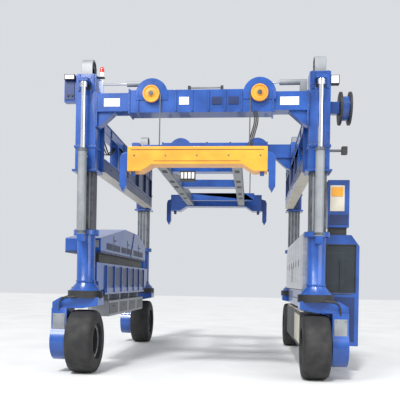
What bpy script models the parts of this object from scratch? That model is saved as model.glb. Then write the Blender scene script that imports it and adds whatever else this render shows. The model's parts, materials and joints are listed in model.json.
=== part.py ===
"""Straddle carrier: four steered wheels on tall legs, a lifting portal and a spreader hung from it.

Metres, +Z up, front towards -Y, right hand side +X.  Coordinates below are measured from the middle
of the wheelbase on the ground; SHIFT then centres the overall box on the origin.
"""
from math import cos, pi, sin

import bmesh
import bpy
from mathutils import Vector

for old in list(bpy.data.objects):
    bpy.data.objects.remove(old, do_unlink=True)

# ---------------------------------------------------------------- main sizes
LEG_X = 2.16              # leg centre line from the middle of the machine
LEG_Y = 3.00              # half the wheelbase
TYRE_R = 0.594
TYRE_W = 0.50
GAP = 0.0005              # between two pieces that touch
SLIDE = 0.007             # between two pieces that slide

ARM_TOP = 1.43            # steering arm, under the slewing ring
ARM_BOTTOM = 1.22
FORK_OUT = 0.57           # outer face of the hub motor, from the leg centre
RING_TOP = 1.55

PEDESTAL_R = 0.17
PEDESTAL_TOP = 2.69
MAST = 0.30               # inner mast, square
MAST_TOP = 4.55
SLEEVE = 0.38             # outer sleeve, square
SLEEVE_RING = 0.42        # stiffening ring around each sleeve
SLEEVE_BOTTOM = 3.78
SLEEVE_TOP = 5.60
LOOP_TOP = 5.93           # cable loop over each leg
CYLINDER_Y = 0.35         # lift cylinder, from the leg centre

BEAM_BOTTOM = 4.88
BEAM_TOP = 5.22
BEAM_DEPTH = 0.30
FRONT_BEAM_Y = -3.10      # beam centre lines
REAR_BEAM_Y = 1.02
CARRIAGE_HALF = 1.33

SIDE_X0 = 1.90            # side frames
SIDE_X1 = 2.10

SPREADER_FRONT = -3.83
SPREADER_LENGTH = 6.06
SPREADER_HALF = 1.22
SPREADER_REAR = SPREADER_FRONT + SPREADER_LENGTH
END_BEAM_DEPTH = 0.36

SHEAVE_R = 0.155
SHEAVE_Z = 5.17
ROPE_R = 0.011
ROPE_FOOT = 4.05

CAB_IN = 2.36
CAB_OUT = 3.08
CAB_FRONT = -2.20
CAB_REAR = -0.85
CAB_FLOOR = 0.54
CAB_TOP = 2.72
HINGE_R = 0.015

LEFT_REACH = -(LEG_X + FORK_OUT)
RIGHT_REACH = CAB_OUT + HINGE_R
FRONT_REACH = SPREADER_FRONT
REAR_REACH = LEG_Y + TYRE_R
SHIFT = Vector((-(LEFT_REACH + RIGHT_REACH) / 2, -(FRONT_REACH + REAR_REACH) / 2, 0.0))

# corner name, side (+1 right), end (+1 rear)
CORNERS = (
    ("fl", -1, -1),
    ("fr", +1, -1),
    ("rl", -1, +1),
    ("rr", +1, +1),
)


# ---------------------------------------------------------------- shapes
def prism(axis, outline, low, high):
    """A closed outline pushed along an axis; outline points are the other two coordinates in order."""
    count = len(outline)
    points = []
    for level in (low, high):
        for a, b in outline:
            points.append({"x": (level, a, b), "y": (a, level, b), "z": (a, b, level)}[axis])
    faces = [list(range(count)), list(range(count, 2 * count))]
    for i in range(count):
        j = (i + 1) % count
        faces.append([i, j, count + j, count + i])
    return points, faces


def box(x0, x1, y0, y1, z0, z1):
    x0, x1 = min(x0, x1), max(x0, x1)
    y0, y1 = min(y0, y1), max(y0, y1)
    return prism("z", ((x0, y0), (x1, y0), (x1, y1), (x0, y1)), z0, z1)


def tube(axis, a, b, radius, low, high, sides=24, radius_high=None):
    """A cylinder or cone along an axis through (a, b)."""
    radius_high = radius if radius_high is None else radius_high
    points = []
    for level, r in ((low, radius), (high, radius_high)):
        for i in range(sides):
            angle = 2 * pi * i / sides
            p, q = a + r * cos(angle), b + r * sin(angle)
            points.append({"x": (level, p, q), "y": (p, level, q), "z": (p, q, level)}[axis])
    faces = [list(range(sides)), list(range(sides, 2 * sides))]
    for i in range(sides):
        j = (i + 1) % sides
        faces.append([i, j, sides + j, sides + i])
    return points, faces


def raw_object(name, shape, origin):
    points, faces = shape
    mesh = bpy.data.meshes.new(name)
    mesh.from_pydata([Vector(p) - Vector(origin) for p in points], [], faces)
    tidy = bmesh.new()
    tidy.from_mesh(mesh)
    bmesh.ops.recalc_face_normals(tidy, faces=tidy.faces)
    tidy.to_mesh(mesh)
    tidy.free()
    made = bpy.data.objects.new(name, mesh)
    bpy.context.scene.collection.objects.link(made)
    made.location = Vector(origin) + SHIFT
    return made


MATERIALS = {}
COLOURS = {
    "blue": ((0.015, 0.06, 0.38, 1), 0.1, 0.35),
    "grey": ((0.28, 0.30, 0.32, 1), 0.3, 0.5),
    "dark": ((0.05, 0.05, 0.06, 1), 0.3, 0.5),
    "chrome": ((0.75, 0.75, 0.76, 1), 1.0, 0.15),
    "rubber": ((0.02, 0.02, 0.02, 1), 0.0, 0.85),
    "orange": ((0.9, 0.42, 0.03, 1), 0.0, 0.45),
    "silver": ((0.6, 0.61, 0.62, 1), 0.7, 0.35),
}


def material(kind):
    if kind not in MATERIALS:
        colour, metallic, roughness = COLOURS[kind]
        made = bpy.data.materials.new(kind)
        made.use_nodes = True
        shader = made.node_tree.nodes["Principled BSDF"]
        shader.inputs["Base Color"].default_value = colour
        shader.inputs["Metallic"].default_value = metallic
        shader.inputs["Roughness"].default_value = roughness
        MATERIALS[kind] = made
    return MATERIALS[kind]


def piece(name, kind, add, cut=(), origin=(0.0, 0.0, 0.0)):
    """One closed solid: the shapes in add joined together, less the shapes in cut."""
    whole = raw_object(name, add[0], origin)
    tools = []
    for operation, shapes in (("UNION", add[1:]), ("DIFFERENCE", cut)):
        for shape in shapes:
            tool = raw_object(name + "_tool", shape, origin)
            step = whole.modifiers.new("step", "BOOLEAN")
            step.operation = operation
            step.solver = "EXACT"
            step.object = tool
            tools.append(tool)
    if tools:
        bpy.context.view_layer.update()
        depsgraph = bpy.context.evaluated_depsgraph_get()
        joined = bpy.data.meshes.new_from_object(whole.evaluated_get(depsgraph))
        whole.modifiers.clear()
        whole.data = joined
        for tool in tools:
            bpy.data.objects.remove(tool, do_unlink=True)
    whole.data.materials.clear()
    whole.data.materials.append(material(kind))
    return whole


def mirrored(side, x0, x1):
    """A range of x measured outward from the middle, on one side."""
    return (side * x0, side * x1)


# ---------------------------------------------------------------- legs, cylinders, forks and wheels
for corner, side, end in CORNERS:
    cx, cy = side * LEG_X, end * LEG_Y
    rod_y = cy + end * CYLINDER_Y
    half = MAST / 2

    piece(
        f"leg_{corner}", "blue",
        [
            tube("z", cx, cy, PEDESTAL_R, RING_TOP, PEDESTAL_TOP - 0.03),
            tube("z", cx, cy, 0.30, RING_TOP, RING_TOP + 0.16, radius_high=PEDESTAL_R - 0.005),
            tube("z", cx, cy, 0.24, PEDESTAL_TOP - 0.09, PEDESTAL_TOP),
            box(cx - half, cx + half, cy - half, cy + half, PEDESTAL_TOP - 0.04, MAST_TOP),
            box(cx - 0.13, cx + 0.13, cy, cy - end * 0.20, 1.60, 2.05),
            box(cx - 0.06, cx + 0.06, cy, cy + end * 0.44, 2.46, PEDESTAL_TOP - 0.095),
        ],
    )
    piece(
        f"lift_barrel_{corner}", "grey",
        [
            tube("z", cx, rod_y, 0.080, PEDESTAL_TOP - 0.095 + GAP, 4.18, 20),
        ],
        [tube("z", cx, rod_y, 0.0425 + SLIDE, 2.75, 4.30, 20)],
    )

    origin = (cx, cy, ARM_TOP)
    inner, outer = mirrored(side, 0.28, FORK_OUT)
    piece(
        f"fork_{corner}", "blue",
        [
            prism("y", (
                (cx - side * 0.30, ARM_BOTTOM + 0.06),
                (cx - side * 0.30, ARM_TOP),
                (cx + side * 0.40, ARM_TOP),
                (cx + outer, ARM_TOP - 0.10),
                (cx + outer, ARM_BOTTOM - 0.10),
                (cx + inner, ARM_BOTTOM - 0.10),
                (cx + inner, ARM_BOTTOM),
                (cx, ARM_BOTTOM),
            ), cy - 0.22, cy + 0.22),
            tube("z", cx, cy, 0.33, ARM_TOP - 0.02, RING_TOP - GAP, 32),
            box(cx + inner, cx + outer, cy - 0.26, cy + 0.26, 0.60, ARM_BOTTOM),
            tube("x", cy, TYRE_R, 0.36, cx + inner, cx + outer, 32),
            tube("x", cy, TYRE_R, 0.15, cx + side * 0.10, cx + side * 0.30, 24),
        ],
        origin=origin,
    )

    axle = (cx, cy, TYRE_R)
    w = TYRE_W / 2
    shoulder = 0.035
    bore = 0.34
    profile = (
        (-w, bore), (-w, TYRE_R - 0.05), (-w + shoulder, TYRE_R),
        (w - shoulder, TYRE_R), (w, TYRE_R - 0.05), (w, bore),
    )
    sides = 48
    ring_points = []
    for i in range(sides):
        angle = 2 * pi * i / sides
        for offset, radius in profile:
            ring_points.append((cx + offset, cy + radius * cos(angle), TYRE_R + radius * sin(angle)))
    ring_faces = []
    width = len(profile)
    for i in range(sides):
        nxt = (i + 1) % sides
        for k in range(width):
            m = (k + 1) % width
            ring_faces.append([i * width + k, i * width + m, nxt * width + m, nxt * width + k])
    piece(f"tyre_{corner}", "rubber", [(ring_points, ring_faces)], origin=axle)
    piece(
        f"wheel_hub_{corner}", "grey",
        [
            tube("x", cy, TYRE_R, bore - GAP, cx - side * 0.18, cx + side * 0.22, 48),
            tube("x", cy, TYRE_R, 0.10, cx - side * 0.12, cx - side * 0.0, 16),
        ],
        [
            tube("x", cy, TYRE_R, 0.165, cx + side * 0.08, cx + side * 0.30, 24),
        ],
        origin=axle,
    )

# the recess in each rim is cut after its cap is placed, as a ring
for corner, side, end in CORNERS:
    cx, cy = side * LEG_X, end * LEG_Y
    hub = bpy.data.objects[f"wheel_hub_{corner}"]
    outer_ring = raw_object("ring", tube("x", cy, TYRE_R, 0.27, cx - side * 0.30, cx - side * 0.02, 32),
                            (cx, cy, TYRE_R))
    inner_ring = raw_object("core", tube("x", cy, TYRE_R, 0.10, cx - side * 0.12, cx + side * 0.05, 16),
                            (cx, cy, TYRE_R))
    for target, tool in ((outer_ring, inner_ring), (hub, outer_ring)):
        step = target.modifiers.new("step", "BOOLEAN")
        step.operation = "DIFFERENCE"
        step.solver = "EXACT"
        step.object = tool
    bpy.context.view_layer.update()
    joined = bpy.data.meshes.new_from_object(
        hub.evaluated_get(bpy.context.evaluated_depsgraph_get()))
    hub.modifiers.clear()
    hub.data = joined
    for tool in (outer_ring, inner_ring):
        bpy.data.objects.remove(tool, do_unlink=True)

# ---------------------------------------------------------------- left base: power pack
ribs = []
for y in (-2.1, -1.4, -0.7, 0.0, 0.7, 1.4, 2.1):
    ribs.append(box(-1.96, -2.10, y - 0.02, y + 0.02, 1.50, 2.06))
piece(
    "left_base_frame", "blue",
    [
        box(-2.31, -2.00, -LEG_Y + 0.20 + GAP, LEG_Y - 0.20 - GAP, 1.73, 2.10),
        box(-2.31, -2.00, -2.65, 2.65, 1.56, 1.80),
        box(-2.40, -1.98, -2.20, 2.20, 1.46, 1.60),
        box(-2.50, -2.07, -2.40, 2.25, 2.08, 2.33),
        box(-2.70, -1.98, -2.60, 2.30, 2.29, 2.33),
    ] + ribs,
)
HOOD = ((-2.60, 2.33 + GAP), (-2.60, 2.58), (-0.30, 2.95), (1.30, 2.95), (2.30, 2.70), (2.30, 2.33 + GAP))
HOOD_INSIDE = ((-2.57, 2.20), (-2.57, 2.555), (-0.30, 2.92), (1.30, 2.92), (2.27, 2.675), (2.27, 2.20))
piece(
    "engine_hood", "blue",
    [prism("x", HOOD, -2.70, -1.98)],
    [prism("x", HOOD_INSIDE, -2.67, -2.01)],
)
piece("engine_block", "dark", [box(-2.48, -2.10, -1.60, 1.20, 2.33 + GAP, 2.68)])
straps = []
for y in (-1.6, -0.5, 0.5, 1.6):
    straps.append(box(-2.30, -2.05, y - 0.05, y + 0.05, 1.30, 1.46 - GAP))
piece("battery_box", "grey", [box(-2.42, -1.96, -1.90, 1.90, 1.00, 1.33)] + straps)

# ---------------------------------------------------------------- right base: cabinet, tank and cab
piece(
    "right_base_frame", "blue",
    [
        box(2.00, CAB_IN - GAP, -2.25, 2.25, 1.25, 1.62),
        box(2.02, 2.30, -2.65, 2.68, 1.555, 1.635),
        box(2.02, 2.30, -2.65, -2.47, 1.56, 2.05),
        box(2.02, 2.30, -LEG_Y + 0.20 + GAP, -2.47, 1.73, 2.05),
        box(2.02, 2.30, 2.62, 2.68, 1.56, 2.05),
        box(2.02, 2.30, 2.62, LEG_Y - 0.20 - GAP, 1.73, 2.05),
    ],
)
piece(
    "equipment_cabinet", "silver",
    [prism("x", ((-2.45, 1.635 + GAP), (-2.45, 2.72), (2.25, 2.72), (2.60, 2.45), (2.60, 1.635 + GAP)),
           1.95, 2.345)],
)
straps = []
for y in (-1.9, -0.6, 0.6, 1.6):
    straps.append(box(2.05, 2.28, y - 0.05, y + 0.05, 1.15, 1.25 - GAP))
piece("fuel_tank", "dark", [box(1.95, 2.34, -2.20, 1.90, 0.47, 1.20)] + straps)

DOOR_Y0, DOOR_Y1 = -1.92, -1.12
DOOR_Z0, DOOR_Z1 = 0.64, 2.40
WALL = 0.05
cab_outline = ((CAB_IN, CAB_FLOOR), (CAB_OUT, CAB_FLOOR), (CAB_OUT, 2.50), (CAB_OUT - 0.16, CAB_TOP),
               (CAB_IN, CAB_TOP))
cab_inside = ((CAB_IN + WALL, CAB_FLOOR + WALL), (CAB_OUT - WALL, CAB_FLOOR + WALL),
              (CAB_OUT - WALL, 2.48), (CAB_OUT - 0.18, CAB_TOP - WALL), (CAB_IN + WALL, CAB_TOP - WALL))
piece(
    "cab_shell", "blue",
    [prism("y", cab_outline, CAB_FRONT, CAB_REAR)],
    [
        prism("y", cab_inside, CAB_FRONT + WALL, CAB_REAR - WALL),
        box(CAB_IN + 0.07, CAB_OUT - 0.07, CAB_FRONT - 0.1, CAB_FRONT + 0.1, 1.60, 2.52),
        box(CAB_IN + 0.10, CAB_OUT - 0.10, CAB_REAR - 0.1, CAB_REAR + 0.1, 1.60, 2.45),
        box(CAB_IN - 0.1, CAB_IN + 0.1, CAB_FRONT + 0.12, CAB_REAR - 0.12, 1.70, 2.45),
        box(CAB_OUT - 0.1, CAB_OUT + 0.1, DOOR_Y0 - 0.007, DOOR_Y1 + 0.007, DOOR_Z0 - 0.007,
            DOOR_Z1 + 0.007),
        tube("z", CAB_OUT, DOOR_Y1, HINGE_R + SLIDE, DOOR_Z0 - 0.007, DOOR_Z1 + 0.007, 16),
    ],
)
piece(
    "cab_door", "blue",
    [
        box(CAB_OUT - 0.04, CAB_OUT, DOOR_Y0, DOOR_Y1, DOOR_Z0, DOOR_Z1),
        tube("z", CAB_OUT, DOOR_Y1, HINGE_R, DOOR_Z0 + 0.02, DOOR_Z1 - 0.02, 16),
    ],
    [box(CAB_OUT - 0.1, CAB_OUT + 0.1, DOOR_Y0 + 0.09, DOOR_Y1 - 0.09, 1.45, DOOR_Z1 - 0.10)],
    origin=(CAB_OUT, DOOR_Y1, DOOR_Z0),
)
floor = CAB_FLOOR + WALL + GAP
piece(
    "operator_seat", "dark",
    [
        box(2.60, 2.84, -1.45, -1.15, floor, floor + 0.34),
        box(2.46, 2.98, -1.62, -1.08, floor + 0.32, floor + 0.48),
        box(2.48, 2.96, -1.12, -0.99, floor + 0.40, floor + 1.15),
    ],
)
piece("cab_console", "grey", [
    box(2.44, 3.00, CAB_FRONT + WALL + GAP, -1.98, floor, floor + 0.62),
    prism("x", ((CAB_FRONT + WALL + GAP, floor + 0.60), (-1.90, floor + 0.60), (-1.95, floor + 0.72),
                (CAB_FRONT + WALL + GAP, floor + 0.90)), 2.44, 3.00),
])
piece(
    "control_cabinet", "blue",
    [
        box(2.46, 2.88, -2.15, -1.75, 2.87, 3.81),
        box(2.50, 2.84, -2.10, -1.80, CAB_TOP + GAP, 2.90),
    ],
)

# ---------------------------------------------------------------- upper frame
UPPER = (0.0, 0.0, SLEEVE_BOTTOM)
for corner, side, end in CORNERS:
    cx, cy = side * LEG_X, end * LEG_Y
    rod_y = cy + end * CYLINDER_Y
    h = SLEEVE / 2
    ring = SLEEVE_RING / 2
    inside = MAST / 2 + SLIDE
    loop = [(cy - 0.16, 5.58), (cy - 0.16, 5.80), (cy - 0.10, 5.90), (cy, LOOP_TOP),
            (cy + 0.10, 5.90), (cy + 0.16, 5.80), (cy + 0.16, 5.58)]
    loop_hole = [(cy - 0.13, 5.61), (cy - 0.13, 5.79), (cy - 0.085, 5.87), (cy, 5.90),
                 (cy + 0.085, 5.87), (cy + 0.13, 5.79), (cy + 0.13, 5.61)]
    piece(
        f"sleeve_{corner}", "blue",
        [
            box(cx - h, cx + h, cy - h, cy + h, SLEEVE_BOTTOM + 0.01, SLEEVE_TOP),
            box(cx - 0.235, cx + 0.235, cy - 0.235, cy + 0.235, SLEEVE_BOTTOM, SLEEVE_BOTTOM + 0.04),
            box(cx - ring, cx + ring, cy - ring, cy + ring, 4.22, 4.27),
            box(cx - 0.09, cx + 0.09, cy + end * 0.10, cy + end * 0.42, 5.40, 5.47),
            prism("x", loop, cx - 0.105, cx + 0.105),
        ],
        [
            box(cx - inside, cx + inside, cy - inside, cy + inside, SLEEVE_BOTTOM - 0.1, SLEEVE_TOP - 0.03),
            prism("x", loop_hole, cx - 0.2, cx + 0.2),
        ],
        origin=UPPER,
    )
    piece(
        f"lift_rod_{corner}", "chrome",
        [
            tube("z", cx, rod_y, 0.0425, 3.63, 5.40 - GAP, 20),
            tube("z", cx, rod_y, 0.065, 5.30, 5.40 - GAP, 20),
        ],
        origin=UPPER,
    )


def cross_beam(name, centre_y, half, extra=(), cut=()):
    """A portal beam with its knee gussets and end plates."""
    front, rear = centre_y - BEAM_DEPTH / 2, centre_y + BEAM_DEPTH / 2
    shapes = [box(-half, half, front, rear, BEAM_BOTTOM, BEAM_TOP)]
    for side in (-1, 1):
        shapes.append(prism("y", (
            (side * (half - 0.37), BEAM_BOTTOM + 0.02),
            (side * half, BEAM_BOTTOM + 0.02),
            (side * half, 4.60),
            (side * (half - 0.11), 4.65),
            (side * (half - 0.37), BEAM_BOTTOM),
        ), centre_y - 0.10, centre_y + 0.10))
    piece(name, "blue", shapes + list(extra), cut, origin=UPPER)


SHIFT_Z = 5.43            # side-shift cylinders
SHIFT_Y = FRONT_BEAM_Y
half = LEG_X - SLEEVE / 2 - GAP
cross_beam(
    "front_beam", FRONT_BEAM_Y, half,
    [
        box(1.80, 1.93, SHIFT_Y - 0.05, SHIFT_Y + 0.05, BEAM_TOP - 0.02, SHIFT_Z),
        tube("x", SHIFT_Y, SHIFT_Z, 0.050, 1.43, 1.93, 16),
        box(-1.93, -1.85, SHIFT_Y - 0.05, SHIFT_Y + 0.05, BEAM_TOP - 0.02, SHIFT_Z + 0.05),
        tube("x", SHIFT_Y, SHIFT_Z, 0.020, -1.90, -1.12, 12),
    ],
    [tube("x", SHIFT_Y, SHIFT_Z, 0.020 + SLIDE, 1.40, 1.90, 12)],
)
cross_beam("rear_beam", REAR_BEAM_Y, SIDE_X0 - GAP)

for name, side in (("left", -1), ("right", 1)):
    x0, x1 = mirrored(side, SIDE_X0, SIDE_X1)
    end_y = LEG_Y - SLEEVE_RING / 2 - GAP
    shapes = [
        box(x0, x1, -end_y, end_y, 4.62, 4.80),
        box(x0, x1, -end_y, end_y, 3.85, 4.10),
        box(side * 1.96, side * 1.985, -1.50, end_y, 4.05, 4.68),
        box(x0, x1, 0.80, 1.24, 4.05, 5.26),
        box(x0, side * 2.30, -end_y, -end_y + 0.03, 3.85, 4.95),
        box(x0, side * 2.30, end_y - 0.03, end_y, 3.85, 4.95),
    ]
    for y in (-1.50, -0.40, 1.90):
        shapes.append(box(side * 1.91, side * 2.09, y - 0.04, y + 0.04, 4.05, 4.68))
    piece(f"side_frame_{name}", "blue", shapes, origin=UPPER)

sleeve_out = LEG_X + SLEEVE / 2 + GAP
piece("lamp_box", "blue", [
    box(-sleeve_out, -2.60, -3.12, -2.98, 5.10, 5.56),
    box(-2.52, -2.40, -3.16, -3.00, 5.50, 5.60),
], origin=UPPER)
piece("hose_reel", "blue", [
    box(sleeve_out, 2.53, -3.06, -2.94, 4.86, 5.08),
    tube("x", -3.00, 4.965, 0.30, 2.52, 2.56, 32),
    tube("x", -3.00, 4.965, 0.22, 2.55, 2.70, 32),
    tube("x", -3.00, 4.965, 0.30, 2.69, 2.73, 32),
], origin=UPPER)

# ---------------------------------------------------------------- trolley: carriages and sheaves
TROLLEY = (0.0, FRONT_BEAM_Y, BEAM_TOP)
# place, beam centre, face the sheaves are on
CARRIAGES = (
    ("front", FRONT_BEAM_Y, -1),
    ("rear", REAR_BEAM_Y, +1),
)
# name, x of the sheave, side its rope leaves on
SHEAVES = (
    ("left", -0.90, +1),
    ("right", 1.07, -1),
)
SHEAVE_OFFSET = 0.25      # sheave centre from the beam centre line
for place, beam_y, face in CARRIAGES:
    inner_y, outer_y = BEAM_DEPTH / 2 + SLIDE, BEAM_DEPTH / 2 + 0.04
    z0, z1 = BEAM_BOTTOM - SLIDE, BEAM_TOP + SLIDE
    shapes = [
        box(-CARRIAGE_HALF, CARRIAGE_HALF, beam_y - outer_y, beam_y + outer_y, z0 - 0.03, z1 + 0.03),
        box(-CARRIAGE_HALF, -CARRIAGE_HALF + 0.03, beam_y - outer_y - 0.02, beam_y + outer_y + 0.02,
            z0 - 0.05, z1 + 0.05),
        box(CARRIAGE_HALF - 0.03, CARRIAGE_HALF, beam_y - outer_y - 0.02, beam_y + outer_y + 0.02,
            z0 - 0.05, z1 + 0.05),
    ]
    guard = beam_y + face * (outer_y - 0.01)
    for name, x, rope_side in SHEAVES:
        arc = [(x - 0.30, SHEAVE_Z - 0.10), (x + 0.30, SHEAVE_Z - 0.10)]
        for i in range(13):
            angle = pi * i / 12
            arc.append((x + 0.30 * cos(angle), SHEAVE_Z + 0.30 * sin(angle)))
        shapes.append(prism("y", arc, guard, guard + face * 0.025))
        shapes.append(tube("y", x, SHEAVE_Z, 0.028, guard, beam_y + face * (SHEAVE_OFFSET + 0.045), 16))
    cuts = [box(-2, 2, beam_y - inner_y, beam_y + inner_y, z0, z1)]
    if place == "front":
        shapes += [
            box(1.14, 1.19, SHIFT_Y - 0.04, SHIFT_Y + 0.04, z1 + 0.01, SHIFT_Z + 0.04),
            tube("x", SHIFT_Y, SHIFT_Z, 0.020, 1.16, 1.66, 12),
            box(-0.92, -0.84, SHIFT_Y - 0.04, SHIFT_Y + 0.04, z1 + 0.01, SHIFT_Z),
            tube("x", SHIFT_Y, SHIFT_Z, 0.050, -1.40, -0.84, 16),
        ]
        cuts.append(tube("x", SHIFT_Y, SHIFT_Z, 0.020 + SLIDE, -1.45, -0.88, 12))
    piece(f"{place}_carriage", "blue", shapes, cuts, origin=TROLLEY)
    y = beam_y + face * SHEAVE_OFFSET
    for name, x, rope_side in SHEAVES:
        piece(
            f"{place}_sheave_{name}", "orange",
            [tube("y", x, SHEAVE_Z, SHEAVE_R, y - 0.03, y + 0.03, 36)],
            [tube("y", x, SHEAVE_Z, 0.028 + SLIDE, y - 0.1, y + 0.1, 16)],
            origin=(x, y, SHEAVE_Z),
        )

# ---------------------------------------------------------------- spreader and its ropes
SPREADER = (0.0, (SPREADER_FRONT + SPREADER_REAR) / 2, ROPE_FOOT)
# place, outer face, direction of the outside, colour
END_BEAMS = (
    ("front", SPREADER_FRONT, -1, "orange"),
    ("rear", SPREADER_REAR, +1, "blue"),
)
for place, face, out, colour in END_BEAMS:
    back = face - out * END_BEAM_DEPTH
    s = SPREADER_HALF
    shapes = [prism("y", (
        (-s, 3.67), (-s + 0.24, 3.67), (-s + 0.43, 3.79), (s - 0.43, 3.79), (s - 0.24, 3.67), (s, 3.67),
        (s, 4.10), (-s, 4.10),
    ), face, back)]
    for side in (-1, 1):
        shapes.append(prism("y", (
            (side * (s - 0.02), 4.02), (side * 1.33, 3.98), (side * 1.36, 3.90), (side * 1.36, 3.42),
            (side * 1.30, 3.31), (side * 1.245, 3.42), (side * 1.245, 3.68), (side * (s - 0.02), 3.72),
        ), face - out * 0.02, face - out * 0.16))
        shapes.append(tube("z", side * 1.13, face - out * 0.104, 0.035, 3.60, 3.70, 16))
    piece(f"spreader_{place}_beam", colour, shapes, origin=SPREADER)

frame_front = SPREADER_FRONT + END_BEAM_DEPTH + GAP
frame_rear = SPREADER_REAR - END_BEAM_DEPTH - GAP
shapes = [box(-0.70, 0.70, -2.75, -2.50, 3.86, 4.02)]
for side in (-1, 1):
    x0, x1 = mirrored(side, 0.595, 0.765)
    shapes.append(box(x0, x1, frame_front, frame_rear, 3.81, 4.04))
for place, beam_y, face in CARRIAGES:
    y = beam_y + face * SHEAVE_OFFSET
    shapes.append(box(-0.86, 1.02, y - 0.06, y + 0.06, 3.86, ROPE_FOOT))
shapes.append(box(-0.70, 0.70, -0.95, -0.65, 3.86, 4.02))
piece("spreader_frame", "grey", shapes, origin=SPREADER)

for place, beam_y, face in CARRIAGES:
    y = beam_y + face * SHEAVE_OFFSET
    for name, x, rope_side in SHEAVES:
        rope_x = x + rope_side * (SHEAVE_R + ROPE_R + GAP)
        piece(
            f"{place}_rope_{name}", "dark",
            [tube("z", rope_x, y, ROPE_R, ROPE_FOOT + GAP, SHEAVE_Z, 8)],
            origin=SPREADER,
        )
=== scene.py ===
"""Looks for the straddle carrier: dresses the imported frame, adds fittings, lights it and sets the camera."""
import json
from math import cos, pi, radians, sin

import bmesh
import bpy
from mathutils import Matrix

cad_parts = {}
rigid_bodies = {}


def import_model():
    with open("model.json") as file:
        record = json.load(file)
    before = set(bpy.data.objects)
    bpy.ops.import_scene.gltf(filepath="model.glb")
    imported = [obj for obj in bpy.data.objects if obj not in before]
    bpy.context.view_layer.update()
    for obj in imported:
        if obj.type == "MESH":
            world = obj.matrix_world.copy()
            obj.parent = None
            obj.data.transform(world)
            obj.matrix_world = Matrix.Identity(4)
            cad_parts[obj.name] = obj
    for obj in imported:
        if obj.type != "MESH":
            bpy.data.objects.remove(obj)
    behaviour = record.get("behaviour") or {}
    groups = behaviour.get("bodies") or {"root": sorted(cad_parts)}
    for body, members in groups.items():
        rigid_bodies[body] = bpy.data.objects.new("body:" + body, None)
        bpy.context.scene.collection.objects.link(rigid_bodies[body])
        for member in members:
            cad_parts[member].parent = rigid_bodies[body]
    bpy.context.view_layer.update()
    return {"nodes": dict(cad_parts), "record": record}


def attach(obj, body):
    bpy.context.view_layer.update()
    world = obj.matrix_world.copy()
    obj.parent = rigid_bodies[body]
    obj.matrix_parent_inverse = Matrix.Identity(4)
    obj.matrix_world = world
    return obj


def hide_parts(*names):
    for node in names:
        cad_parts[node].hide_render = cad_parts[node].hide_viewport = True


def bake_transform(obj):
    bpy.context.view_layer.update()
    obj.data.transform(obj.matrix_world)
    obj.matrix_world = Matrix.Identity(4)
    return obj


for old in list(bpy.data.objects):
    bpy.data.objects.remove(old, do_unlink=True)
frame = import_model()
NODES = frame["nodes"]

SX, SY = -0.1825, 0.118   # the machine's middle in the row frame
CORNERS = (("fl", -1, -1), ("fr", 1, -1), ("rl", -1, 1), ("rr", 1, 1))
LEG_X, LEG_Y = 2.16, 3.0  # a leg's axis, from the machine's middle
AXLE_Z = 0.594            # height of the axles, and the radius of the tyres
SHEAVE_Z = 5.17           # height of the sheaves' pins
ROPE_TOP_OF_BEAM = 4.052  # where a rope meets the spreader
ROPE_R = 0.011
BODY = {n: b for b, ns in frame["record"]["behaviour"]["bodies"].items() for n in ns}


# ---------------------------------------------------------------- materials
def finish(name, colour, shade, metallic=0.0, rough=(0.3, 0.5), patch=2.5, grain=90.0, bump=0.15,
           coat=0.0, stretch=(1, 1, 1)):
    """A procedural surface: two colours mottled together, uneven roughness and a fine bump."""
    made = bpy.data.materials.new(name)
    made.use_nodes = True
    tree = made.node_tree
    shader = tree.nodes["Principled BSDF"]
    place = tree.nodes.new("ShaderNodeTexCoord")
    scale = tree.nodes.new("ShaderNodeMapping")
    scale.inputs["Scale"].default_value = stretch
    tree.links.new(place.outputs["Object"], scale.inputs["Vector"])
    broad = tree.nodes.new("ShaderNodeTexNoise")
    broad.inputs["Scale"].default_value = patch
    broad.inputs["Detail"].default_value = 8.0
    fine = tree.nodes.new("ShaderNodeTexNoise")
    fine.inputs["Scale"].default_value = grain
    fine.inputs["Detail"].default_value = 4.0
    for texture in (broad, fine):
        tree.links.new(scale.outputs["Vector"], texture.inputs["Vector"])
    ramp = tree.nodes.new("ShaderNodeValToRGB")
    ramp.color_ramp.elements[0].position = 0.35
    ramp.color_ramp.elements[0].color = (*shade, 1)
    ramp.color_ramp.elements[1].position = 0.62
    ramp.color_ramp.elements[1].color = (*colour, 1)
    tree.links.new(broad.outputs["Fac"], ramp.inputs["Fac"])
    tree.links.new(ramp.outputs["Color"], shader.inputs["Base Color"])
    span = tree.nodes.new("ShaderNodeMapRange")
    span.inputs["To Min"].default_value = rough[0]
    span.inputs["To Max"].default_value = rough[1]
    tree.links.new(broad.outputs["Fac"], span.inputs["Value"])
    tree.links.new(span.outputs["Result"], shader.inputs["Roughness"])
    relief = tree.nodes.new("ShaderNodeBump")
    relief.inputs["Strength"].default_value = bump
    relief.inputs["Distance"].default_value = 0.002
    tree.links.new(fine.outputs["Fac"], relief.inputs["Height"])
    tree.links.new(relief.outputs["Normal"], shader.inputs["Normal"])
    shader.inputs["Metallic"].default_value = metallic
    shader.inputs["Coat Weight"].default_value = coat
    return made


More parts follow.
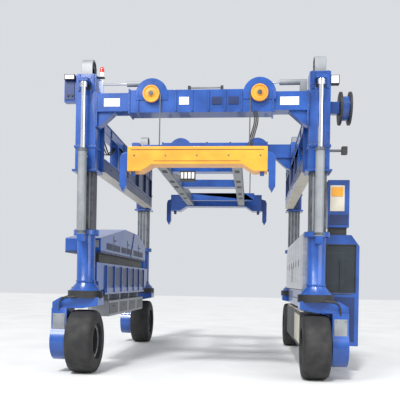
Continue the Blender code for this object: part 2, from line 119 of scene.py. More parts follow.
BLUE = finish("blue_enamel", (0.010, 0.075, 0.34), (0.006, 0.048, 0.23), rough=(0.2, 0.42), coat=0.35)
# painted shade: a darker copy of the blue enamel, laid where the blue paint falls into shadow
BLUE_PAINTED_SHADE = finish("blue_shaded", (0.008, 0.030, 0.13), (0.005, 0.018, 0.08), rough=(0.3, 0.5))
GREY = finish("grey_enamel", (0.24, 0.255, 0.27), (0.16, 0.175, 0.19), rough=(0.3, 0.5))
STEEL = finish("mast_steel", (0.13, 0.14, 0.16), (0.07, 0.075, 0.085), metallic=0.6, rough=(0.35, 0.6),
               patch=6)
BLACK = finish("black_fittings", (0.018, 0.018, 0.020), (0.008, 0.008, 0.009), rough=(0.4, 0.65))
RUBBER = finish("tyre_rubber_look", (0.012, 0.012, 0.013), (0.024, 0.023, 0.022), rough=(0.6, 0.9),
                patch=5, grain=140, bump=0.4)
CHROME = finish("rod_chrome_look", (0.80, 0.81, 0.83), (0.70, 0.71, 0.74), metallic=1.0, rough=(0.06, 0.16),
                grain=200, bump=0.02)
ORANGE = finish("orange_enamel", (0.78, 0.34, 0.022), (0.60, 0.25, 0.018), rough=(0.3, 0.5), coat=0.25)
SILVER = finish("brushed_panel", (0.62, 0.64, 0.66), (0.50, 0.52, 0.55), metallic=0.85, rough=(0.22, 0.4),
                grain=40, bump=0.08, stretch=(1, 0.15, 6))
BEIGE = finish("cream_enamel", (0.62, 0.58, 0.48), (0.50, 0.46, 0.37), rough=(0.35, 0.55))
HOSE = finish("hose_rubber", (0.012, 0.012, 0.013), (0.03, 0.03, 0.03), rough=(0.35, 0.6), patch=20,
              grain=300,
              bump=0.3)
WIRE = finish("rope_wire_look", (0.16, 0.16, 0.17), (0.06, 0.06, 0.06), metallic=0.7, rough=(0.4, 0.6),
              grain=400,
              bump=0.6, stretch=(1, 1, 0.3))
RED = finish("beacon_red", (0.75, 0.03, 0.02), (0.5, 0.02, 0.01), rough=(0.1, 0.2), coat=0.5)
WHITE = finish("white_plastic", (0.78, 0.78, 0.76), (0.62, 0.62, 0.60), rough=(0.3, 0.5))
SEAT = finish("seat_fabric", (0.03, 0.03, 0.035), (0.015, 0.015, 0.02), rough=(0.75, 0.95), grain=500,
              bump=0.6)
GLASS = finish("tinted_glass", (0.10, 0.13, 0.15), (0.08, 0.10, 0.12), rough=(0.02, 0.06), bump=0.0)
GLASS.node_tree.nodes["Principled BSDF"].inputs["Transmission Weight"].default_value = 0.75
LENS = finish("lamp_lens", (0.85, 0.86, 0.88), (0.6, 0.62, 0.66), rough=(0.05, 0.15), grain=30, bump=0.5)


# ---------------------------------------------------------------- building blocks
def dressed(node, main, zones=(), bevel=0.006):
    """A rounded, smooth copy of a CAD node that stands for it; zones give other finishes to some faces."""
    shape = bmesh.new()
    shape.from_mesh(NODES[node].data)
    bmesh.ops.remove_doubles(shape, verts=shape.verts, dist=1e-5)
    bmesh.ops.dissolve_limit(shape, angle_limit=radians(0.5), verts=shape.verts, edges=shape.edges)
    mesh = bpy.data.meshes.new(node + "_look")
    shape.to_mesh(mesh)
    shape.free()
    made = bpy.data.objects.new(node + "_look", mesh)
    bpy.context.scene.collection.objects.link(made)
    mesh.materials.clear()
    for material in [main] + [z[1] for z in zones]:
        mesh.materials.append(material)
    for face in mesh.polygons:
        x, y, z = face.center[0] - SX, face.center[1] - SY, face.center[2]
        face.material_index = 0
        for number, (test, _) in enumerate(zones):
            if test(x, y, z):
                face.material_index = number + 1
        face.use_smooth = True
    mesh.set_sharp_from_angle(angle=radians(32))
    soften(made, bevel)
    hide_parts(node)
    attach(made, BODY[node])
    return made


def soften(obj, width):
    """Rounds the sharp edges by a bevel that the mesh keeps as a modifier."""
    if width:
        edge = obj.modifiers.new("edges", "BEVEL")
        edge.width = width
        edge.segments = 2
        edge.limit_method = "ANGLE"
        edge.angle_limit = radians(40)
        edge.harden_normals = True


class Kit:
    """Gathers many small closed shapes into one piece. Places are measured from the machine's middle."""

    def __init__(self):
        self.shape = bmesh.new()
        self.materials = []

    def add(self, points, faces, material):
        if material not in self.materials:
            self.materials.append(material)
        verts = [self.shape.verts.new((p[0] + SX, p[1] + SY, p[2])) for p in points]
        for f in faces:
            face = self.shape.faces.new([verts[i] for i in f])
            face.material_index = self.materials.index(material)
            face.smooth = True

    def prism(self, axis, outline, low, high, material):
        n = len(outline)
        order = {"x": lambda c, a, b: (c, a, b),
                 "y": lambda c, a, b: (a, c, b),
                 "z": lambda c, a, b: (a, b, c)}
        points = [order[axis](c, a, b) for c in (low, high) for a, b in outline]
        faces = [list(range(n)), list(range(2 * n - 1, n - 1, -1))]
        faces += [[i, n + i, n + (i + 1) % n, (i + 1) % n] for i in range(n)]
        self.add(points, faces, material)

    def box(self, x0, x1, y0, y1, z0, z1, material):
        self.prism("z", ((x0, y0), (x0, y1), (x1, y1), (x1, y0)), z0, z1, material)

    def tube(self, axis, a, b, r, low, high, material, sides=20):
        ring = [(a + r * cos(2 * pi * i / sides), b + r * sin(2 * pi * i / sides)) for i in range(sides)]
        self.prism(axis, ring, low, high, material)

    def lathe(self, axis, a, b, profile, material, sides=48, closed=True):
        """Turns a profile of (place along the axis, radius) round an axis."""
        points = []
        for i in range(sides):
            t = 2 * pi * i / sides
            for c, r in profile:
                p, q = a + r * cos(t), b + r * sin(t)
                points.append({"x": (c, p, q), "y": (p, c, q), "z": (p, q, c)}[axis])
        n = len(profile)
        faces = []
        for i in range(sides):
            j = (i + 1) % sides
            for k in range(n if closed else n - 1):
                m = (k + 1) % n
                faces.append([i * n + k, i * n + m, j * n + m, j * n + k])
        self.add(points, faces, material)

    def done(self, name, body, bevel=0.003, nodes=()):
        bmesh.ops.recalc_face_normals(self.shape, faces=self.shape.faces)
        mesh = bpy.data.meshes.new(name)
        self.shape.to_mesh(mesh)
        self.shape.free()
        for material in self.materials:
            mesh.materials.append(material)
        mesh.set_sharp_from_angle(angle=radians(35))
        made = bpy.data.objects.new(name, mesh)
        bpy.context.scene.collection.objects.link(made)
        soften(made, bevel)
        if nodes:
            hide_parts(*nodes)
        if body:
            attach(made, body)
        return made


def hose(name, body, points, radius, material=HOSE):
    """A smooth tube through points measured from the machine's middle."""
    curve = bpy.data.curves.new(name, "CURVE")
    curve.dimensions = "3D"
    curve.bevel_depth = radius
    curve.bevel_resolution = 3
    curve.use_fill_caps = True
    line = curve.splines.new("NURBS")
    line.points.add(len(points) - 1)
    for point, (x, y, z) in zip(line.points, points):
        point.co = (x + SX, y + SY, z, 1)
    line.use_endpoint_u = True
    line.order_u = 4
    line.resolution_u = 8
    curve.materials.append(material)
    made = bpy.data.objects.new(name, curve)
    bpy.context.scene.collection.objects.link(made)
    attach(made, body)
    return made


# ---------------------------------------------------------------- legs, forks and wheels
def dress_corner(corner, cy):
    """The CAD pieces of one corner, rounded and coloured."""
    dressed(f"leg_{corner}", BLUE, [(lambda x, y, z: z > 2.695, STEEL)], 0.008)
    dressed(f"lift_barrel_{corner}", GREY)
    dressed(f"lift_rod_{corner}", CHROME, bevel=0.003)
    dressed(f"sleeve_{corner}", BLUE, [(lambda x, y, z: z > 5.605, GREY)], 0.010)
    dressed(f"fork_{corner}", BLUE, [(lambda x, y, z: z > 1.435, BLACK)], 0.014)
    dressed(f"wheel_hub_{corner}", BLACK, [(
        lambda x, y, z, cy=cy: (y - cy) ** 2 + (z - AXLE_Z) ** 2 < 0.102 ** 2, GREY)], 0.006)


def leg_fittings(corner, cx, cy):
    """Two rings of bolts, six wear strips on the mast and a collar."""
    fit = Kit()
    for i in range(16):
        t = 2 * pi * (i + 0.5) / 16
        fit.tube("z", cx + 0.212 * cos(t), cy + 0.212 * sin(t), 0.013, 2.69, 2.704, STEEL, 6)
        fit.tube("z", cx + 0.255 * cos(t), cy + 0.255 * sin(t), 0.012, 1.60, 1.612, STEEL, 6)
    for dx, dy in ((-0.09, 1), (0.0, 1), (0.09, 1), (-0.09, -1), (0.0, -1), (0.09, -1)):
        y0 = cy + dy * 0.149
        fit.box(cx + dx - 0.016, cx + dx + 0.016, min(y0, y0 + dy * 0.005), max(y0, y0 + dy * 0.005),
                2.70, 3.77, GREY)
    fit.lathe("z", cx, cy, [(1.71, 0.165), (1.71, 0.185), (1.74, 0.185), (1.74, 0.165)], BLUE)
    fit.done(f"leg_fittings_{corner}", "chassis", 0.002)


def barrel_glands(corner, cx, cy, end):
    """The bands round a lift cylinder and its upper port."""
    fit = Kit()
    rod_y = cy + end * 0.35
    fit.lathe("z", cx, rod_y, [(4.12, 0.079), (4.12, 0.088), (4.18, 0.088), (4.18, 0.079)], STEEL, 32)
    fit.lathe("z", cx, rod_y, [(2.62, 0.079), (2.62, 0.089), (2.66, 0.089), (2.66, 0.079)], STEEL, 32)
    fit.tube("x", rod_y, 4.02, 0.018, cx + 0.07, cx + 0.10, STEEL, 12)
    fit.done(f"barrel_glands_{corner}", "chassis", 0.002)


def sleeve_fittings(corner, cx, cy, end):
    """Bolts, a bracket, a plate and the chain over the top of one sleeve."""
    fit = Kit()
    for dz in (3.79, 4.245):
        reach = 0.215 if dz < 4 else 0.198
        for i in range(-2, 3):
            for sy in (-1, 1):
                fit.tube("z", cx + i * 0.085, cy + sy * reach, 0.011, dz + 0.02, dz + 0.042, STEEL, 6)
    front = cy + end * 0.19
    for dx in (-0.13, 0.13):
        fit.box(cx + dx - 0.025, cx + dx + 0.025,
                min(front, front + end * 0.02), max(front, front + end * 0.02), 5.28, 5.60, BLUE)
    for z in (5.31, 5.36):
        for dx in (-0.13, 0.13):
            fit.tube("y", cx + dx, z, 0.012,
                     min(front, front + end * 0.034), max(front, front + end * 0.034), STEEL, 6)
    fit.box(cx - 0.08, cx + 0.08, min(front, front + end * 0.003), max(front, front + end * 0.003),
            5.30, 5.52, BLACK)
    for i in range(11):
        t = pi * (i + 0.5) / 11
        y, z = cy + 0.145 * cos(t), 5.76 + 0.13 * sin(t)
        for dx in (-0.104, 0.092):
            fit.box(cx + dx, cx + dx + 0.012, y - 0.014, y + 0.014, z - 0.014, z + 0.014, BLACK)
    fit.done(f"sleeve_fittings_{corner}", "upper_frame", 0.002)


def tyre_tread(corner, cx, cy):
    """The tyre: a turned profile with shallow lugs on both shoulders."""
    tyre = Kit()
    steps = 96
    half = 0.25
    profile = ((-half, 0.34), (-half, 0.43), (-half + 0.004, 0.52), (-half + 0.02, 0.56),
               (-half + 0.055, 0.586), (-half + 0.12, 0.5935), (0.0, AXLE_Z), (half - 0.12, 0.5935),
               (half - 0.055, 0.586), (half - 0.02, 0.56), (half - 0.004, 0.52), (half, 0.43), (half, 0.34))
    points, faces = [], []
    for i in range(steps):
        t = 2 * pi * i / steps
        dip = 0.012 if i % 4 == 0 else 0.0
        for k, (c, r) in enumerate(profile):
            cut = dip if k in (3, 4, 8, 9) else 0.0
            points.append((cx + c, cy + (r - cut) * cos(t), AXLE_Z + (r - cut) * sin(t)))
    n = len(profile)
    for i in range(steps):
        j = (i + 1) % steps
        for k in range(n):
            m = (k + 1) % n
            faces.append([i * n + k, i * n + m, j * n + m, j * n + k])
    tyre.add(points, faces, RUBBER)
    for c in (-half + 0.0015, half - 0.0015):
        tyre.lathe("x", cy, AXLE_Z, [
            (cx + c - 0.003, 0.455), (cx + c - 0.003, 0.47),
            (cx + c + 0.003, 0.47), (cx + c + 0.003, 0.455)], RUBBER, 64)
    tyre.done(f"tyre_tread_{corner}", f"wheel_{corner}", 0, (f"tyre_{corner}",))


def wheel_bolts(corner, cx, cy, side):
    """Rings of bolts on the rim and the hub."""
    fit = Kit()
    for i in range(12):
        t = 2 * pi * i / 12
        fit.tube("x", cy + 0.30 * cos(t), AXLE_Z + 0.30 * sin(t), 0.014, cx - side * 0.195,
                 cx - side * 0.178, STEEL, 6)
        fit.tube("x", cy + 0.17 * cos(t), AXLE_Z + 0.17 * sin(t), 0.013, cx - side * 0.04,
                 cx - side * 0.018, GREY, 6)
    fit.done(f"wheel_bolts_{corner}", f"wheel_{corner}", 0.002)


def fork_fittings(corner, cx, cy, side):
    """Bolts, a cover plate and the slew ring's bolts."""
    fit = Kit()
    out = cx + side * 0.57
    lo, hi = min(out, out - side * 0.01), max(out, out - side * 0.01)
    for i in range(10):
        t = 2 * pi * i / 10
        fit.tube("x", cy + 0.30 * cos(t), AXLE_Z + 0.30 * sin(t), 0.014, lo, hi + 0.004 * (side > 0),
                 STEEL, 6)
    x0, x1 = sorted((cx + side * 0.31, cx + side * 0.54))
    fit.box(x0, x1, cy - 0.275, cy - 0.255, 0.66, 1.12, GREY)
    for x in (x0 + 0.03, x1 - 0.03):
        for z in (0.70, 1.08):
            fit.tube("y", x, z, 0.011, cy - 0.283, cy - 0.270, STEEL, 6)
    for i in range(20):
        t = 2 * pi * (i + 0.5) / 20
        fit.tube("z", cx + 0.345 * cos(t) * 0.9, cy + 0.345 * sin(t) * 0.62, 0.010, 1.43, 1.436, STEEL, 6)
    fit.done(f"fork_fittings_{corner}", f"fork_{corner}", 0.003)


def slew_hoses(corner, cx, cy, side):
    """Three hoses over the front of the fork."""
    for i, (a, r) in enumerate(((-0.4, 0.012), (0.2, 0.016), (0.7, 0.010))):
        y0 = cy - 0.30
        hose(f"slew_hose_{corner}_{i}", f"fork_{corner}", [
            (cx + side * (0.02 + a * 0.2), y0 + 0.06, 1.48),
            (cx + side * (0.12 + a * 0.2), y0 - 0.03, 1.45),
            (cx + side * (0.26 + a * 0.1), y0 - 0.05, 1.42), (cx + side * 0.38, y0, 1.40),
            (cx + side * 0.42, y0 + 0.03, 1.30), (cx + side * 0.42, y0 + 0.05, 1.18)], r)


for corner, side, end in CORNERS:
    cx, cy = side * LEG_X, end * LEG_Y
    dress_corner(corner, cy)
    leg_fittings(corner, cx, cy)
    barrel_glands(corner, cx, cy, end)
    sleeve_fittings(corner, cx, cy, end)
    tyre_tread(corner, cx, cy)
    wheel_bolts(corner, cx, cy, side)
    fork_fittings(corner, cx, cy, side)
    slew_hoses(corner, cx, cy, side)


# ---------------------------------------------------------------- bases
def hood_fittings():
    """Louvres, seams, handles, a strut and bolts on the hood's inner side."""
    fit = Kit()
    for y in (-1.85, -1.15, -0.45, 0.25, 0.95, 1.65):
        # the louvre panels take the painted-shade blue
        fit.box(-1.983, -1.976, y - 0.28, y + 0.28, 2.38, 2.52, BLUE_PAINTED_SHADE)
        for k in range(6):
            fit.box(-1.981, -1.970, y - 0.24, y + 0.24, 2.395 + k * 0.02, 2.403 + k * 0.02, BLACK)
    for y in (-1.5, -0.1, 1.3):
        fit.box(-1.982, -1.974, y - 0.006, y + 0.006, 2.36, 2.70, BLACK)
        fit.box(-1.982, -1.962, y + 0.10, y + 0.22, 2.60, 2.62, STEEL)
    fit.prism("x", ((0.30, 2.34), (0.38, 2.34), (0.80, 2.94), (0.70, 2.94)), -1.982, -1.965, BLUE)
    for i in range(9):
        fit.tube("x", -1.7 + i * 0.42, 2.31, 0.012, -1.985, -1.970, STEEL, 6)
    fit.done("hood_fittings", "chassis", 0.002)


def left_panels():
    """Panels of the left base and its battery box."""
    fit = Kit()
    for y in (-1.75, -1.05, -0.35, 0.35, 1.05, 1.75):
        # these panels take the painted-shade blue
        fit.box(-1.995, -1.985, y - 0.30, y + 0.30, 1.64, 2.04, BLUE_PAINTED_SHADE)
    for y in (-1.5, -0.5, 0.5, 1.5):
        fit.box(-1.965, -1.957, y - 0.40, y + 0.40, 1.05, 1.28, STEEL)
        fit.box(-1.966, -1.945, y - 0.05, y + 0.05, 1.20, 1.215, BLACK)
    fit.box(-2.36, -2.02, -2.62, -2.60, 2.40, 2.54, GREY)
    fit.done("left_panels", "chassis", 0.003)


def right_panels():
    """Doors, vents and bolts of the cabinet, and the tank's panel."""
    fit = Kit()
    for y in (-1.9, -1.2, -0.5, 0.2, 0.9, 1.6):
        fit.box(1.944, 1.951, y - 0.32, y + 0.32, 1.72, 2.64, SILVER)
        fit.box(1.938, 1.946, y + 0.22, y + 0.26, 2.10, 2.24, BLACK)
    for k in range(12):
        fit.box(1.938, 1.946, 0.05, 0.40, 1.80 + k * 0.03, 1.812 + k * 0.03, BLACK)
    fit.box(1.99, 2.31, -2.456, -2.449, 1.72, 2.64, SILVER)
    fit.box(2.06, 2.24, -2.462, -2.455, 1.90, 2.40, BLACK)
    for k in range(14):
        fit.box(2.07, 2.23, -2.468, -2.460, 1.92 + k * 0.033, 1.935 + k * 0.033, GREY)
    for i in range(12):
        fit.tube("x", -2.0 + i * 0.36, 1.43, 0.013, 1.990, 2.002, STEEL, 6)
    fit.box(1.944, 1.951, -2.05, -0.75, 0.55, 1.12, BEIGE)
    fit.done("right_panels", "chassis", 0.003)


dressed("left_base_frame", BLUE, [
    (lambda x, y, z: 2.11 < z < 2.29, BLACK),
    # the top of the base takes the painted-shade blue
    (lambda x, y, z: z >= 2.29, BLUE_PAINTED_SHADE)], 0.006)
dressed("engine_hood", BLUE, bevel=0.02)
dressed("engine_block", STEEL, bevel=0.01)
dressed("battery_box", GREY, bevel=0.012)
dressed("right_base_frame", BLUE, bevel=0.008)
dressed("equipment_cabinet", SILVER, bevel=0.012)
dressed("fuel_tank", BLACK, [(lambda x, y, z: z > 1.19, BEIGE)], 0.02)
dressed("cab_shell", BLUE, [(lambda x, y, z: z > 2.58, GREY)], 0.012)
dressed("cab_door", BLUE, bevel=0.008)
dressed("operator_seat", SEAT, bevel=0.03)
dressed("cab_console", GREY, [(lambda x, y, z: z > 1.22, BLACK)], 0.01)
dressed("control_cabinet", BLUE, [(lambda x, y, z: z < 2.868, BLACK)], 0.010)
hood_fittings()
left_panels()
right_panels()


# ---------------------------------------------------------------- cab
def cab_glass():
    """The panes of the front, rear and inner side."""
    fit = Kit()
    fit.box(2.435, 3.005, -2.185, -2.175, 1.605, 2.515, GLASS)
    fit.box(2.465, 2.975, -0.875, -0.865, 1.605, 2.445, GLASS)
    fit.box(2.38, 2.39, -2.07, -0.98, 1.705, 2.445, GLASS)
    fit.done("cab_glass", "chassis", 0)


def door_glass():
    """The door's pane and handle."""
    fit = Kit()
    fit.box(3.055, 3.063, -1.825, -1.215, 1.455, 2.295, GLASS)
    fit.box(3.078, 3.088, -1.80, -1.68, 1.30, 1.33, BLACK)
    fit.done("door_glass", "cab_door", 0.001)


def cab_trim():
    """The windscreen's frame, wiper, rail and visor, and the panel below."""
    fit = Kit()
    for x0, x1, z0, z1 in ((2.425, 3.015, 1.585, 1.605), (2.425, 3.015, 2.515, 2.535),
                           (2.42, 2.437, 1.59, 2.53), (3.003, 3.02, 1.59, 2.53)):
        fit.box(x0, x1, -2.206, -2.19, z0, z1, BLACK)
    fit.box(2.70, 2.715, -2.212, -2.204, 1.62, 2.20, BLACK)
    # the panel below the windscreen takes the painted-shade blue
    fit.box(2.44, 3.00, -2.206, -2.199, 0.62, 1.50, BLUE_PAINTED_SHADE)
    fit.tube("x", -2.20, 1.56, 0.012, 2.50, 2.95, STEEL, 12)
    fit.box(2.46, 2.98, -2.14, -2.12, 2.50, 2.62, BLACK)
    fit.done("cab_trim", "chassis", 0.002)


def receiver_box():
    """The cover plates on the front of the control cabinet."""
    fit = Kit()
    fit.box(2.50, 2.78, -2.175, -2.149, 3.19, 3.70, BEIGE)
    fit.box(2.53, 2.75, -2.185, -2.170, 3.48, 3.66, ORANGE)
    # the lower plate takes the painted-shade blue
    fit.box(2.48, 2.86, -2.158, -2.149, 2.92, 3.12, BLUE_PAINTED_SHADE)
    for x in (2.49, 2.85):
        for z in (2.90, 3.78):
            fit.tube("y", x, z, 0.009, -2.158, -2.148, STEEL, 6)
    fit.done("receiver_box", "chassis", 0.003)


cab_glass()
door_glass()
cab_trim()
receiver_box()


# ---------------------------------------------------------------- upper frame
def beam_fittings():
    """Blank plates, bolts and end plates of the front beam."""
    fit = Kit()
    for x0, x1 in ((-1.80, -1.50), (1.44, 1.78)):
        fit.box(x0, x1, -3.256, -3.249, 4.97, 5.12, WHITE)
    for side in (-1, 1):
        for z in (4.70, 4.80, 4.95, 5.05, 5.15):
            fit.tube("y", side * 1.94, z, 0.014, -3.265, -3.245, STEEL, 6)
        x0, x1 = sorted((side * 1.925, side * 1.955))
        fit.box(x0, x1, -3.258, -2.95, 4.62, 5.24, BLUE)
    fit.done("beam_fittings", "upper_frame", 0.003)


def side_frame_fittings():
    """Bolts, stiffeners and flanges of both side frames, and a beige strip of painted ground light under each.
    """
    fit = Kit()
    for side in (-1, 1):
        for y0 in (-2.77, 2.76):
            for z in (3.92, 4.02, 4.30, 4.45, 4.68, 4.76, 4.90):
                fit.tube("y", side * 2.20, z, 0.013, y0 - 0.012, y0 + 0.02, STEEL, 6)
        inner = side * 1.90
        x0, x1 = sorted((inner, inner - side * 0.012))
        for y in (-2.2, -1.0, 0.0, 1.6, 2.4):
            # the stiffeners on the inner side take the painted-shade blue
            fit.box(x0, x1, y - 0.03, y + 0.03, 4.64, 4.78, BLUE_PAINTED_SHADE)
            fit.tube("x", y, 3.975, 0.014, x0, x1, STEEL, 6)
        x0, x1 = sorted((side * 1.885, side * 2.115))
        fit.box(x0, x1, -2.74, 2.74, 4.085, 4.10, BLUE)
        fit.box(x0, x1, -2.74, 2.74, 4.795, 4.808, BLUE)
        # painted reflection: the beige strip on the lower member's bottom face stands for the ground's light
        # reflected there
        fit.box(x0, x1, -2.74, 2.74, 3.842, 3.852, BEIGE)
    fit.done("side_frame_fittings", "upper_frame", 0.002)


def frame_hoses():
    """Three hanging hoses in the front bay of each side frame."""
    for side in (-1, 1):
        for i in range(3):
            x = side * (1.97 + 0.035 * i)
            hose(f"frame_hose_{'l' if side < 0 else 'r'}{i}", "upper_frame", [
                (x, -2.72, 4.60), (x, -2.55, 4.52 - 0.04 * i), (x, -2.2, 4.30 - 0.03 * i),
                (x, -1.9, 4.34 + 0.03 * i), (x, -1.6, 4.50), (x, -1.52, 4.60)], 0.014 - 0.002 * i)


def lamps_upper():
    """Lamps, the beacon and the bracket at the front of the frame."""
    fit = Kit()
    # the lamp bracket takes the painted-shade blue
    fit.box(-2.585, -2.40, -3.135, -3.118, 5.14, 5.52, BLUE_PAINTED_SHADE)
    fit.tube("y", -2.52, 5.22, 0.022, -3.15, -3.13, BLACK)
    fit.tube("y", -2.44, 5.22, 0.022, -3.15, -3.13, BLACK)
    fit.box(-2.58, -2.38, -3.20, -3.10, 5.50, 5.60, BLACK)
    fit.box(-2.565, -2.395, -3.206, -3.198, 5.515, 5.585, LENS)
    fit.lathe("z", -1.91, -3.0, [(5.60, 0.0), (5.60, 0.05), (5.68, 0.05), (5.69, 0.04), (5.69, 0.0)],
              WHITE, 24)
    fit.lathe("z", -1.91, -3.0, [(5.69, 0.0), (5.69, 0.042), (5.76, 0.040), (5.79, 0.025), (5.80, 0.0)],
              RED, 24)
    fit.box(-2.00, -1.86, -3.05, -2.95, 5.585, 5.60, BLACK)
    fit.box(2.34, 2.50, -3.20, -3.08, 5.36, 5.52, BLACK)
    fit.box(2.355, 2.485, -3.206, -3.198, 5.375, 5.505, LENS)
    fit.box(2.345, 2.60, -3.05, -3.00, 4.17, 4.21, STEEL)
    fit.box(2.58, 2.68, -3.08, -2.97, 4.12, 4.26, BLACK)
    fit.done("lamps_upper", "upper_frame", 0.003)


dressed("front_beam", BLUE, [
    (lambda x, y, z: z > 5.26 and x > 1.2, GREY), (lambda x, y, z: z > 5.36 and x < -1.1, CHROME)], 0.008)
dressed("rear_beam", BLUE, bevel=0.008)
for name in ("left", "right"):
    # painted shade: the web between the beams, behind the front bay, is coloured as it looks in shadow
    dressed(f"side_frame_{name}", BLUE, [(lambda x, y, z: y > -1.46 and 4.12 < z < 4.61, BLUE_PAINTED_SHADE)], 0.006)
dressed("lamp_box", BLUE, bevel=0.008)
dressed("hose_reel", BLUE, [(lambda x, y, z: 2.515 < x < 2.565 or x > 2.685, BLACK)], 0.004)
beam_fittings()
side_frame_fittings()
frame_hoses()
lamps_upper()


# ---------------------------------------------------------------- trolley
def carriage_fittings(place, beam_y, face):
    """Ribs, blank plates, bolts and a small cylinder on one carriage."""
    outer = beam_y + face * 0.19
    fit = Kit()
    for x in (-1.15, -0.45, -0.15, 0.15, 0.45, 0.75):
        y0, y1 = sorted((outer, outer + face * 0.022))
        fit.box(x - 0.012, x + 0.012, y0, y1, 4.86, 5.24, BLUE)
    for x in (-0.30, 0.30, 0.60):
        y0, y1 = sorted((outer, outer + face * 0.012))
        # the plates right of the middle take the painted-shade blue
        fit.box(x - 0.09, x + 0.09, y0, y1, 4.98, 5.12, WHITE if x < 0 else BLUE_PAINTED_SHADE)
    for x in (-1.315, 1.315):
        for z in (4.90, 5.00, 5.10, 5.20):
            y0, y1 = sorted((outer + face * 0.018, outer + face * 0.030))
            fit.tube("y", x, z, 0.011, y0, y1, STEEL, 6)
    fit.tube("x", beam_y + face * 0.12, 5.31, 0.016, -0.24, 0.40, GREY, 12)
    for x in (-0.24, 0.36):
        fit.box(x, x + 0.05, beam_y + face * 0.12 - 0.03, beam_y + face * 0.12 + 0.03, 5.25, 5.34, BLACK)
    fit.done(f"{place}_carriage_fittings", "trolley", 0.002)


def sheave_look(place, name, x, y):
    """A turned, grooved sheave."""
    fit = Kit()
    fit.lathe("y", x, SHEAVE_Z, [
        (y - 0.030, 0.036), (y - 0.030, 0.060), (y - 0.018, 0.064), (y - 0.014, 0.120), (y - 0.028, 0.128),
        (y - 0.028, 0.153), (y - 0.020, 0.155), (y - 0.008, 0.136), (y + 0.008, 0.136), (y + 0.020, 0.155),
        (y + 0.028, 0.153), (y + 0.028, 0.128), (y + 0.014, 0.120), (y + 0.018, 0.064), (y + 0.030, 0.060),
        (y + 0.030, 0.036)], ORANGE, 64)
    fit.done(f"{place}_sheave_{name}_look", f"{place}_sheave_{name}", 0, (f"{place}_sheave_{name}",))


def sheave_pin(place, name, x, y, face):
    """The end of a sheave's pin."""
    fit = Kit()
    y0, y1 = sorted((y + face * 0.034, y + face * 0.046))
    fit.tube("y", x, SHEAVE_Z, 0.045, y0, y1, STEEL, 8)
    fit.done(f"{place}_pin_{name}", "trolley", 0.002)


def rope_look(place, name, x, y, rope_side):
    """A taut rope from its sheave to the spreader."""
    rope_x = x + rope_side * (0.155 + ROPE_R + 0.0005)
    fit = Kit()
    levels = 24
    climb = SHEAVE_Z - ROPE_TOP_OF_BEAM
    ring = [(ROPE_TOP_OF_BEAM + climb * k / levels, ROPE_R) for k in range(levels + 1)]
    fit.lathe("z", rope_x, y, [(ROPE_TOP_OF_BEAM, 0.0)] + ring + [(SHEAVE_Z, 0.0)], WIRE, 10)
    rope = fit.done(f"{place}_rope_{name}_look", None, 0, (f"{place}_rope_{name}",))
    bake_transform(rope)


for place, beam_y, face in (("front", -3.10, -1), ("rear", 1.02, 1)):
    dressed(f"{place}_carriage", BLUE, [
        (lambda x, y, z: z > 5.33 and -1.42 < x < -0.83 and abs(y + 3.10) < 0.06, GREY),
        (lambda x, y, z: x > 1.192 and z > 5.38, CHROME)], 0.005)
    y = beam_y + face * 0.25
    carriage_fittings(place, beam_y, face)
    for name, x, rope_side in (("left", -0.90, 1), ("right", 1.07, -1)):
        sheave_look(place, name, x, y)
        sheave_pin(place, name, x, y, face)
        rope_look(place, name, x, y, rope_side)


# ---------------------------------------------------------------- spreader
def end_beam_fittings(place, face, out):
    """Seams, bolts and twistlocks of one end beam."""
    fit = Kit()
    y0, y1 = sorted((face, face + out * 0.004))
    fit.box(-1.16, 1.16, y0, y1, 4.035, 4.045, BLACK)
    fit.box(-0.76, 0.76, y0, y1, 3.84, 3.848, BLACK)
    for x in (-1.10, -0.55, 0.0, 0.55, 1.10):
        y0, y1 = sorted((face, face + out * 0.010))
        fit.tube("y", x, 3.94, 0.014, y0, y1, STEEL, 6)
    for side in (-1, 1):
        fit.lathe("z", side * 1.13, face - out * 0.104, [
            (3.602, 0.0), (3.602, 0.018), (3.63, 0.034),
            (3.66, 0.034), (3.67, 0.050), (3.672, 0.0)], STEEL, 16)
    fit.done(f"spreader_{place}_fittings", "spreader", 0.002)


def spreader_fittings():
    """Pads and bolts of the long beams, and the junction box."""
    fit = Kit()
    for side in (-1, 1):
        x0, x1 = sorted((side * 0.635, side * 0.725))
        for y in (-3.0, -1.9, -1.2, -0.2, 0.5):
            fit.box(x0, x1, y - 0.12, y + 0.12, 3.806, 3.812, BLACK)
            fit.tube("x", y, 3.93, 0.014, side * 0.59, side * 0.60, STEEL, 6)
    fit.box(-0.42, -0.14, -2.78, -2.52, 3.70, 3.87, BLACK)
    for k in range(4):
        fit.box(-0.40 + k * 0.07, -0.35 + k * 0.07, -2.79, -2.75, 3.72, 3.84, WHITE)
    fit.done("spreader_fittings", "spreader", 0.003)


def spreader_lead(i):
    """One electric lead, hanging from the trolley to the spreader."""
    x = 1.02 - 0.03 * i
    points = [(x, -3.34 + 0.01 * i, 4.84), (x + 0.05, -3.34, 4.70), (x - 0.01, -3.33, 4.50),
              (x - 0.06, -3.33, 4.30), (x - 0.08, -3.34, 4.15), (x - 0.10, -3.35, 4.05)]
    cable = hose(f"spreader_cable_{i}", "spreader", points, 0.012)
    bpy.context.view_layer.update()
    solid = bpy.data.objects.new(
        f"spreader_lead_{i}", bpy.data.meshes.new_from_object(
            cable.evaluated_get(bpy.context.evaluated_depsgraph_get())))
    bpy.context.scene.collection.objects.link(solid)
    bpy.data.objects.remove(cable, do_unlink=True)
    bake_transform(solid)


guide = (lambda x, y, z: abs(x) > 1.225 or (z < 3.665 and abs(x) > 1.0), BLUE)
dressed("spreader_front_beam", ORANGE, [guide], 0.010)
dressed("spreader_rear_beam", BLUE, bevel=0.010)
dressed("spreader_frame", GREY, [(lambda x, y, z: abs(x) < 0.59 or abs(x) > 0.77, BLUE)], 0.006)
for place, face, out in (("front", -3.83, -1), ("rear", 2.23, 1)):
    end_beam_fittings(place, face, out)
spreader_fittings()
for i in range(3):
    spreader_lead(i)


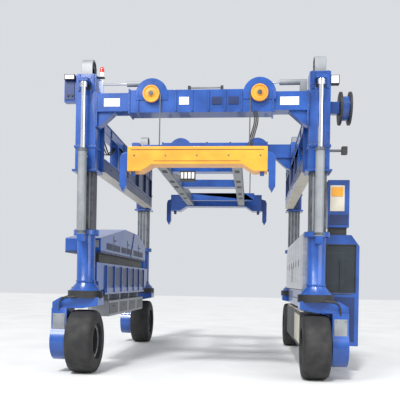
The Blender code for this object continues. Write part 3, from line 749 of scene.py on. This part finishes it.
# ---------------------------------------------------------------- stage, light and camera
def lay_floor():
    """A pale floor."""
    floor_mesh = bpy.data.meshes.new("floor")
    floor_mesh.from_pydata([(-60, -60, -0.002), (60, -60, -0.002), (60, 60, -0.002), (-60, 60, -0.002)], [],
                           [(0, 1, 2, 3)])
    floor = bpy.data.objects.new("floor", floor_mesh)
    bpy.context.scene.collection.objects.link(floor)
    floor_mesh.materials.append(finish("pale_floor", (0.72, 0.72, 0.71), (0.66, 0.66, 0.65),
                                       rough=(0.6, 0.8), patch=0.6))


def light_scene(scene):
    """A pale sky, two large lamps and a soft sun."""
    world = bpy.data.worlds.new("sky")
    scene.world = world
    world.use_nodes = True
    world.node_tree.nodes["Background"].inputs["Color"].default_value = (0.93, 0.96, 1.0, 1)
    world.node_tree.nodes["Background"].inputs["Strength"].default_value = 0.75
    for name, place, turn, energy, size in (
            ("key", (-7, -12, 12), (radians(46), 0, radians(-30)), 1300, 6),
            ("fill", (9, -10, 6), (radians(65), 0, radians(42)), 600, 8)):
        light = bpy.data.lights.new(name, "AREA")
        light.energy = energy
        light.size = size
        lamp = bpy.data.objects.new(name, light)
        lamp.location = place
        lamp.rotation_euler = turn
        scene.collection.objects.link(lamp)
    sun = bpy.data.lights.new("sun", "SUN")
    sun.energy = 2.2
    sun.angle = radians(8)
    sun_lamp = bpy.data.objects.new("sun", sun)
    sun_lamp.rotation_euler = (radians(40), radians(10), radians(-25))
    scene.collection.objects.link(sun_lamp)


def aim_camera(scene):
    """The camera that was fitted to the photograph."""
    camera = bpy.data.cameras.new("camera")
    camera.sensor_width = 36.0
    camera.lens = 53.5
    camera.shift_x = 0.0037
    camera.shift_y = 0.206
    eye = bpy.data.objects.new("camera", camera)
    place = Matrix.Translation((0.972 + SX, -14.075 + SY, 1.740))
    heading, level, roll = 0.088, radians(90), 0.017
    eye.matrix_world = (place @ Matrix.Rotation(heading, 4, "Z")
                        @ Matrix.Rotation(level, 4, "X") @ Matrix.Rotation(roll, 4, "Z"))
    scene.collection.objects.link(eye)
    scene.camera = eye
    scene.view_settings.view_transform = "Standard"


lay_floor()
light_scene(bpy.context.scene)
aim_camera(bpy.context.scene)

bpy.context.view_layer.update()
